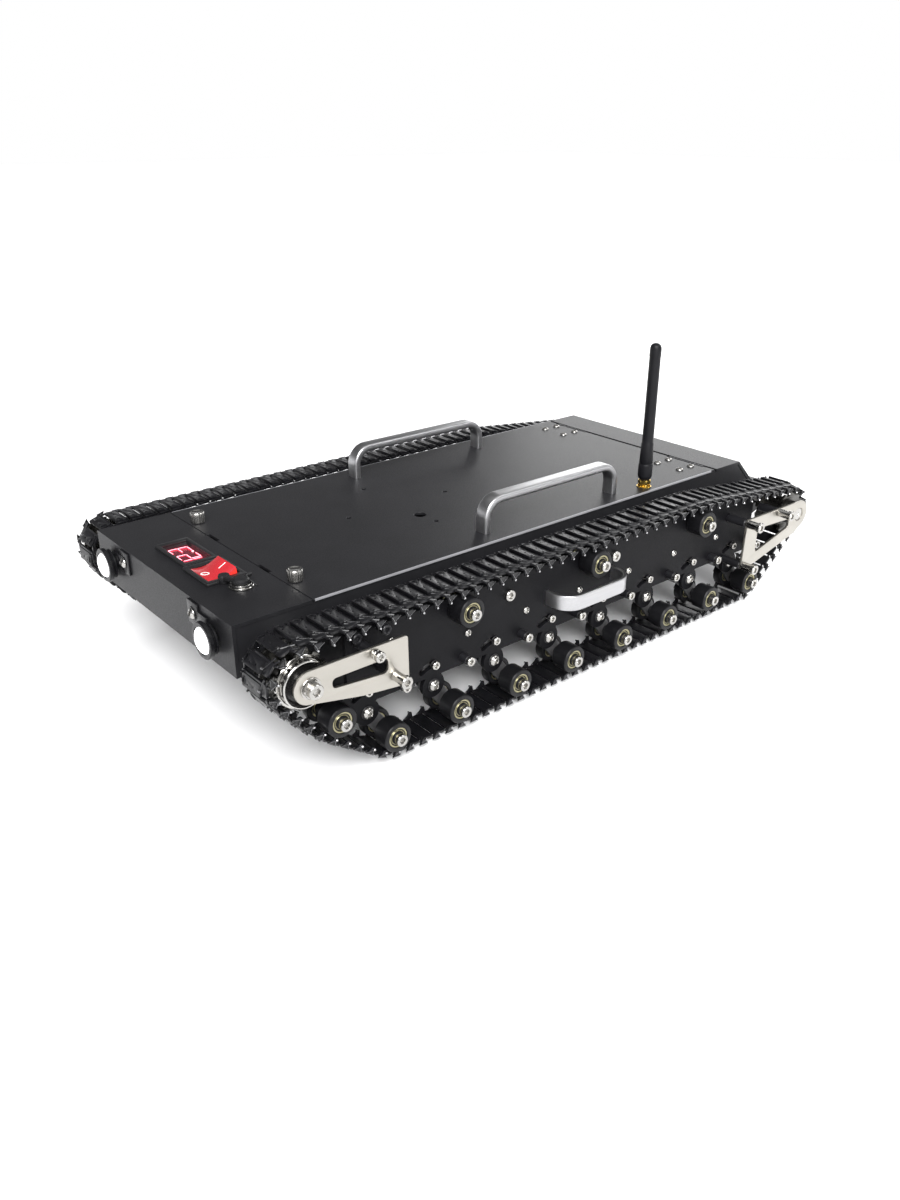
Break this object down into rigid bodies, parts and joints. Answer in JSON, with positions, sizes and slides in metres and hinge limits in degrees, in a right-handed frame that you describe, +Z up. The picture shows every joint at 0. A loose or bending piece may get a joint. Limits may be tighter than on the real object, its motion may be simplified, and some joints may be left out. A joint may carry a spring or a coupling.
{
  "type": "tracked robot chassis",
  "caption": "Low tracked robot chassis with a sheet-metal hull, hinged lid with handles, headlamps, antenna and sprung roller suspension.",
  "frame": {"origin": "on the ground under the middle of the overall box", "axes": "+X forward towards the headlamps, +Y left, +Z up"},
  "size_m": [0.479, 0.287, 0.1945],
  "materials": {
    "black_sheet": "satin black powder coat",
    "black_plate": "satin black",
    "nickel_plate": "warm satin nickel",
    "track_steel": "black oxide",
    "stainless": "bright stainless",
    "spring_steel": "zinc plated spring wire",
    "handle_aluminium": "satin anodised",
    "lamp_black": "black housing with a clear lens",
    "panel_plastic": "moulded black",
    "drive_metal": "motor casings, cell pack and board",
    "antenna_black": "moulded black",
    "rocker_red": "translucent red",
    "arm_metal": "dark cast aluminium",
    "toothed_steel": "plated steel",
    "roller_black": "black polymer"
  },
  "bodies": {
    "chassis": {"hull_tub": "black_sheet", "deck_covers": "black_sheet", "side_plates": "black_plate", "axle_plates": "nickel_plate", "tracks": "track_steel", "chassis_fasteners": "stainless", "suspension_springs": "spring_steel", "side_handles": "handle_aluminium", "headlamps": "lamp_black", "control_panel": "panel_plastic", "drive_pack": "drive_metal"},
    "lid": {"lid": "black_sheet", "lid_handles": "handle_aluminium", "lid_fittings": "stainless"},
    "antenna": {"antenna": "antenna_black"},
    "rocker": {"rocker": "rocker_red"},
    "sprocket_left": {"sprocket_left": "toothed_steel"},
    "idler_left": {"idler_left": "toothed_steel"},
    "guide_roller_left": {"guide_roller_left": "roller_black"},
    "carrier_left_1": {"carrier_left_1": "roller_black"},
    "carrier_left_2": {"carrier_left_2": "roller_black"},
    "carrier_left_3": {"carrier_left_3": "roller_black"},
    "arm_left_1": {"arm_left_1": "arm_metal"},
    "rollers_left_1": {"rollers_left_1": "roller_black"},
    "arm_left_2": {"arm_left_2": "arm_metal"},
    "rollers_left_2": {"rollers_left_2": "roller_black"},
    "arm_left_3": {"arm_left_3": "arm_metal"},
    "rollers_left_3": {"rollers_left_3": "roller_black"},
    "arm_left_4": {"arm_left_4": "arm_metal"},
    "rollers_left_4": {"rollers_left_4": "roller_black"},
    "arm_left_5": {"arm_left_5": "arm_metal"},
    "rollers_left_5": {"rollers_left_5": "roller_black"},
    "arm_left_6": {"arm_left_6": "arm_metal"},
    "rollers_left_6": {"rollers_left_6": "roller_black"},
    "arm_left_7": {"arm_left_7": "arm_metal"},
    "rollers_left_7": {"rollers_left_7": "roller_black"},
    "arm_left_8": {"arm_left_8": "arm_metal"},
    "rollers_left_8": {"rollers_left_8": "roller_black"},
    "sprocket_right": {"sprocket_right": "toothed_steel"},
    "idler_right": {"idler_right": "toothed_steel"},
    "guide_roller_right": {"guide_roller_right": "roller_black"},
    "carrier_right_1": {"carrier_right_1": "roller_black"},
    "carrier_right_2": {"carrier_right_2": "roller_black"},
    "carrier_right_3": {"carrier_right_3": "roller_black"},
    "arm_right_1": {"arm_right_1": "arm_metal"},
    "rollers_right_1": {"rollers_right_1": "roller_black"},
    "arm_right_2": {"arm_right_2": "arm_metal"},
    "rollers_right_2": {"rollers_right_2": "roller_black"},
    "arm_right_3": {"arm_right_3": "arm_metal"},
    "rollers_right_3": {"rollers_right_3": "roller_black"},
    "arm_right_4": {"arm_right_4": "arm_metal"},
    "rollers_right_4": {"rollers_right_4": "roller_black"},
    "arm_right_5": {"arm_right_5": "arm_metal"},
    "rollers_right_5": {"rollers_right_5": "roller_black"},
    "arm_right_6": {"arm_right_6": "arm_metal"},
    "rollers_right_6": {"rollers_right_6": "roller_black"},
    "arm_right_7": {"arm_right_7": "arm_metal"},
    "rollers_right_7": {"rollers_right_7": "roller_black"},
    "arm_right_8": {"arm_right_8": "arm_metal"},
    "rollers_right_8": {"rollers_right_8": "roller_black"}
  },
  "joints": [
    {"name": "lid_hinge", "type": "hinge", "parent": "chassis", "child": "lid", "pos_m": [-0.1695, 0, 0.09305], "axis": [0, -1, 0], "range_deg": [0, 100]},
    {"name": "antenna_swivel", "type": "hinge", "parent": "lid", "child": "antenna", "pos_m": [-0.0995, 0.078, 0.09455], "axis": [0, 0, 1], "range_deg": [-170, 170]},
    {"name": "rocker_tip", "type": "hinge", "parent": "chassis", "child": "rocker", "pos_m": [0.206, 0.021, 0.09355], "axis": [0, -1, 0], "range_deg": [0, 22]},
    {"name": "sprocket_left_spin", "type": "hinge", "parent": "chassis", "child": "sprocket_left", "pos_m": [-0.218, 0.114, 0.06055], "axis": [0, 1, 0], "continuous": true},
    {"name": "idler_left_spin", "type": "hinge", "parent": "chassis", "child": "idler_left", "pos_m": [0.2141, 0.114, 0.07195], "axis": [0, 1, 0], "continuous": true},
    {"name": "guide_roller_left_spin", "type": "hinge", "parent": "chassis", "child": "guide_roller_left", "pos_m": [0.1935, 0.114, 0.04105], "axis": [0, 1, 0], "continuous": true},
    {"name": "carrier_left_1_spin", "type": "hinge", "parent": "chassis", "child": "carrier_left_1", "pos_m": [0.1035, 0.114, 0.07715], "axis": [0, 1, 0], "continuous": true},
    {"name": "carrier_left_2_spin", "type": "hinge", "parent": "chassis", "child": "carrier_left_2", "pos_m": [-0.0035, 0.114, 0.07715], "axis": [0, 1, 0], "continuous": true},
    {"name": "carrier_left_3_spin", "type": "hinge", "parent": "chassis", "child": "carrier_left_3", "pos_m": [-0.1105, 0.114, 0.07715], "axis": [0, 1, 0], "continuous": true},
    {"name": "arm_left_1_swing", "type": "hinge", "parent": "chassis", "child": "arm_left_1", "pos_m": [0.169, 0.114, 0.03155], "axis": [0, 1, 0], "range_deg": [0, 36], "stiffness_Nm_per_rad": 0.35, "springref_deg": -20.05},
    {"name": "rollers_left_1_spin", "type": "hinge", "parent": "arm_left_1", "child": "rollers_left_1", "pos_m": [0.1575, 0.114, 0.01655], "axis": [0, 1, 0], "continuous": true},
    {"name": "arm_left_2_swing", "type": "hinge", "parent": "chassis", "child": "arm_left_2", "pos_m": [0.122, 0.114, 0.03155], "axis": [0, 1, 0], "range_deg": [0, 36], "stiffness_Nm_per_rad": 0.35, "springref_deg": -20.05},
    {"name": "rollers_left_2_spin", "type": "hinge", "parent": "arm_left_2", "child": "rollers_left_2", "pos_m": [0.1105, 0.114, 0.01655], "axis": [0, 1, 0], "continuous": true},
    {"name": "arm_left_3_swing", "type": "hinge", "parent": "chassis", "child": "arm_left_3", "pos_m": [0.075, 0.114, 0.03155], "axis": [0, 1, 0], "range_deg": [0, 36], "stiffness_Nm_per_rad": 0.35, "springref_deg": -20.05},
    {"name": "rollers_left_3_spin", "type": "hinge", "parent": "arm_left_3", "child": "rollers_left_3", "pos_m": [0.0635, 0.114, 0.01655], "axis": [0, 1, 0], "continuous": true},
    {"name": "arm_left_4_swing", "type": "hinge", "parent": "chassis", "child": "arm_left_4", "pos_m": [0.028, 0.114, 0.03155], "axis": [0, 1, 0], "range_deg": [0, 36], "stiffness_Nm_per_rad": 0.35, "springref_deg": -20.05},
    {"name": "rollers_left_4_spin", "type": "hinge", "parent": "arm_left_4", "child": "rollers_left_4", "pos_m": [0.0165, 0.114, 0.01655], "axis": [0, 1, 0], "continuous": true},
    {"name": "arm_left_5_swing", "type": "hinge", "parent": "chassis", "child": "arm_left_5", "pos_m": [-0.019, 0.114, 0.03155], "axis": [0, 1, 0], "range_deg": [0, 36], "stiffness_Nm_per_rad": 0.35, "springref_deg": -20.05},
    {"name": "rollers_left_5_spin", "type": "hinge", "parent": "arm_left_5", "child": "rollers_left_5", "pos_m": [-0.0305, 0.114, 0.01655], "axis": [0, 1, 0], "continuous": true},
    {"name": "arm_left_6_swing", "type": "hinge", "parent": "chassis", "child": "arm_left_6", "pos_m": [-0.066, 0.114, 0.03155], "axis": [0, 1, 0], "range_deg": [0, 36], "stiffness_Nm_per_rad": 0.35, "springref_deg": -20.05},
    {"name": "rollers_left_6_spin", "type": "hinge", "parent": "arm_left_6", "child": "rollers_left_6", "pos_m": [-0.0775, 0.114, 0.01655], "axis": [0, 1, 0], "continuous": true},
    {"name": "arm_left_7_swing", "type": "hinge", "parent": "chassis", "child": "arm_left_7", "pos_m": [-0.113, 0.114, 0.03155], "axis": [0, 1, 0], "range_deg": [0, 36], "stiffness_Nm_per_rad": 0.35, "springref_deg": -20.05},
    {"name": "rollers_left_7_spin", "type": "hinge", "parent": "arm_left_7", "child": "rollers_left_7", "pos_m": [-0.1245, 0.114, 0.01655], "axis": [0, 1, 0], "continuous": true},
    {"name": "arm_left_8_swing", "type": "hinge", "parent": "chassis", "child": "arm_left_8", "pos_m": [-0.16, 0.114, 0.03155], "axis": [0, 1, 0], "range_deg": [0, 36], "stiffness_Nm_per_rad": 0.35, "springref_deg": -20.05},
    {"name": "rollers_left_8_spin", "type": "hinge", "parent": "arm_left_8", "child": "rollers_left_8", "pos_m": [-0.1715, 0.114, 0.01655], "axis": [0, 1, 0], "continuous": true},
    {"name": "sprocket_right_spin", "type": "hinge", "parent": "chassis", "child": "sprocket_right", "pos_m": [-0.218, -0.114, 0.06055], "axis": [0, 1, 0], "continuous": true},
    {"name": "idler_right_spin", "type": "hinge", "parent": "chassis", "child": "idler_right", "pos_m": [0.2141, -0.114, 0.07195], "axis": [0, 1, 0], "continuous": true},
    {"name": "guide_roller_right_spin", "type": "hinge", "parent": "chassis", "child": "guide_roller_right", "pos_m": [0.1935, -0.114, 0.04105], "axis": [0, 1, 0], "continuous": true},
    {"name": "carrier_right_1_spin", "type": "hinge", "parent": "chassis", "child": "carrier_right_1", "pos_m": [0.1035, -0.114, 0.07715], "axis": [0, 1, 0], "continuous": true},
    {"name": "carrier_right_2_spin", "type": "hinge", "parent": "chassis", "child": "carrier_right_2", "pos_m": [-0.0035, -0.114, 0.07715], "axis": [0, 1, 0], "continuous": true},
    {"name": "carrier_right_3_spin", "type": "hinge", "parent": "chassis", "child": "carrier_right_3", "pos_m": [-0.1105, -0.114, 0.07715], "axis": [0, 1, 0], "continuous": true},
    {"name": "arm_right_1_swing", "type": "hinge", "parent": "chassis", "child": "arm_right_1", "pos_m": [0.169, -0.114, 0.03155], "axis": [0, 1, 0], "range_deg": [0, 36], "stiffness_Nm_per_rad": 0.35, "springref_deg": -20.05},
    {"name": "rollers_right_1_spin", "type": "hinge", "parent": "arm_right_1", "child": "rollers_right_1", "pos_m": [0.1575, -0.114, 0.01655], "axis": [0, 1, 0], "continuous": true},
    {"name": "arm_right_2_swing", "type": "hinge", "parent": "chassis", "child": "arm_right_2", "pos_m": [0.122, -0.114, 0.03155], "axis": [0, 1, 0], "range_deg": [0, 36], "stiffness_Nm_per_rad": 0.35, "springref_deg": -20.05},
    {"name": "rollers_right_2_spin", "type": "hinge", "parent": "arm_right_2", "child": "rollers_right_2", "pos_m": [0.1105, -0.114, 0.01655], "axis": [0, 1, 0], "continuous": true},
    {"name": "arm_right_3_swing", "type": "hinge", "parent": "chassis", "child": "arm_right_3", "pos_m": [0.075, -0.114, 0.03155], "axis": [0, 1, 0], "range_deg": [0, 36], "stiffness_Nm_per_rad": 0.35, "springref_deg": -20.05},
    {"name": "rollers_right_3_spin", "type": "hinge", "parent": "arm_right_3", "child": "rollers_right_3", "pos_m": [0.0635, -0.114, 0.01655], "axis": [0, 1, 0], "continuous": true},
    {"name": "arm_right_4_swing", "type": "hinge", "parent": "chassis", "child": "arm_right_4", "pos_m": [0.028, -0.114, 0.03155], "axis": [0, 1, 0], "range_deg": [0, 36], "stiffness_Nm_per_rad": 0.35, "springref_deg": -20.05},
    {"name": "rollers_right_4_spin", "type": "hinge", "parent": "arm_right_4", "child": "rollers_right_4", "pos_m": [0.0165, -0.114, 0.01655], "axis": [0, 1, 0], "continuous": true},
    {"name": "arm_right_5_swing", "type": "hinge", "parent": "chassis", "child": "arm_right_5", "pos_m": [-0.019, -0.114, 0.03155], "axis": [0, 1, 0], "range_deg": [0, 36], "stiffness_Nm_per_rad": 0.35, "springref_deg": -20.05},
    {"name": "rollers_right_5_spin", "type": "hinge", "parent": "arm_right_5", "child": "rollers_right_5", "pos_m": [-0.0305, -0.114, 0.01655], "axis": [0, 1, 0], "continuous": true},
    {"name": "arm_right_6_swing", "type": "hinge", "parent": "chassis", "child": "arm_right_6", "pos_m": [-0.066, -0.114, 0.03155], "axis": [0, 1, 0], "range_deg": [0, 36], "stiffness_Nm_per_rad": 0.35, "springref_deg": -20.05},
    {"name": "rollers_right_6_spin", "type": "hinge", "parent": "arm_right_6", "child": "rollers_right_6", "pos_m": [-0.0775, -0.114, 0.01655], "axis": [0, 1, 0], "continuous": true},
    {"name": "arm_right_7_swing", "type": "hinge", "parent": "chassis", "child": "arm_right_7", "pos_m": [-0.113, -0.114, 0.03155], "axis": [0, 1, 0], "range_deg": [0, 36], "stiffness_Nm_per_rad": 0.35, "springref_deg": -20.05},
    {"name": "rollers_right_7_spin", "type": "hinge", "parent": "arm_right_7", "child": "rollers_right_7", "pos_m": [-0.1245, -0.114, 0.01655], "axis": [0, 1, 0], "continuous": true},
    {"name": "arm_right_8_swing", "type": "hinge", "parent": "chassis", "child": "arm_right_8", "pos_m": [-0.16, -0.114, 0.03155], "axis": [0, 1, 0], "range_deg": [0, 36], "stiffness_Nm_per_rad": 0.35, "springref_deg": -20.05},
    {"name": "rollers_right_8_spin", "type": "hinge", "parent": "arm_right_8", "child": "rollers_right_8", "pos_m": [-0.1715, -0.114, 0.01655], "axis": [0, 1, 0], "continuous": true}
  ],
  "couplings": [
    {"joint": "idler_left_spin", "follows": "sprocket_left_spin", "ratio": 1},
    {"joint": "guide_roller_left_spin", "follows": "sprocket_left_spin", "ratio": 1.4976},
    {"joint": "carrier_left_1_spin", "follows": "sprocket_left_spin", "ratio": 1.4976},
    {"joint": "carrier_left_2_spin", "follows": "sprocket_left_spin", "ratio": 1.4976},
    {"joint": "carrier_left_3_spin", "follows": "sprocket_left_spin", "ratio": 1.4976},
    {"joint": "rollers_left_1_spin", "follows": "sprocket_left_spin", "ratio": 1.4976},
    {"joint": "rollers_left_2_spin", "follows": "sprocket_left_spin", "ratio": 1.4976},
    {"joint": "rollers_left_3_spin", "follows": "sprocket_left_spin", "ratio": 1.4976},
    {"joint": "rollers_left_4_spin", "follows": "sprocket_left_spin", "ratio": 1.4976},
    {"joint": "rollers_left_5_spin", "follows": "sprocket_left_spin", "ratio": 1.4976},
    {"joint": "rollers_left_6_spin", "follows": "sprocket_left_spin", "ratio": 1.4976},
    {"joint": "rollers_left_7_spin", "follows": "sprocket_left_spin", "ratio": 1.4976},
    {"joint": "rollers_left_8_spin", "follows": "sprocket_left_spin", "ratio": 1.4976},
    {"joint": "idler_right_spin", "follows": "sprocket_right_spin", "ratio": 1},
    {"joint": "guide_roller_right_spin", "follows": "sprocket_right_spin", "ratio": 1.4976},
    {"joint": "carrier_right_1_spin", "follows": "sprocket_right_spin", "ratio": 1.4976},
    {"joint": "carrier_right_2_spin", "follows": "sprocket_right_spin", "ratio": 1.4976},
    {"joint": "carrier_right_3_spin", "follows": "sprocket_right_spin", "ratio": 1.4976},
    {"joint": "rollers_right_1_spin", "follows": "sprocket_right_spin", "ratio": 1.4976},
    {"joint": "rollers_right_2_spin", "follows": "sprocket_right_spin", "ratio": 1.4976},
    {"joint": "rollers_right_3_spin", "follows": "sprocket_right_spin", "ratio": 1.4976},
    {"joint": "rollers_right_4_spin", "follows": "sprocket_right_spin", "ratio": 1.4976},
    {"joint": "rollers_right_5_spin", "follows": "sprocket_right_spin", "ratio": 1.4976},
    {"joint": "rollers_right_6_spin", "follows": "sprocket_right_spin", "ratio": 1.4976},
    {"joint": "rollers_right_7_spin", "follows": "sprocket_right_spin", "ratio": 1.4976},
    {"joint": "rollers_right_8_spin", "follows": "sprocket_right_spin", "ratio": 1.4976}
  ]
}
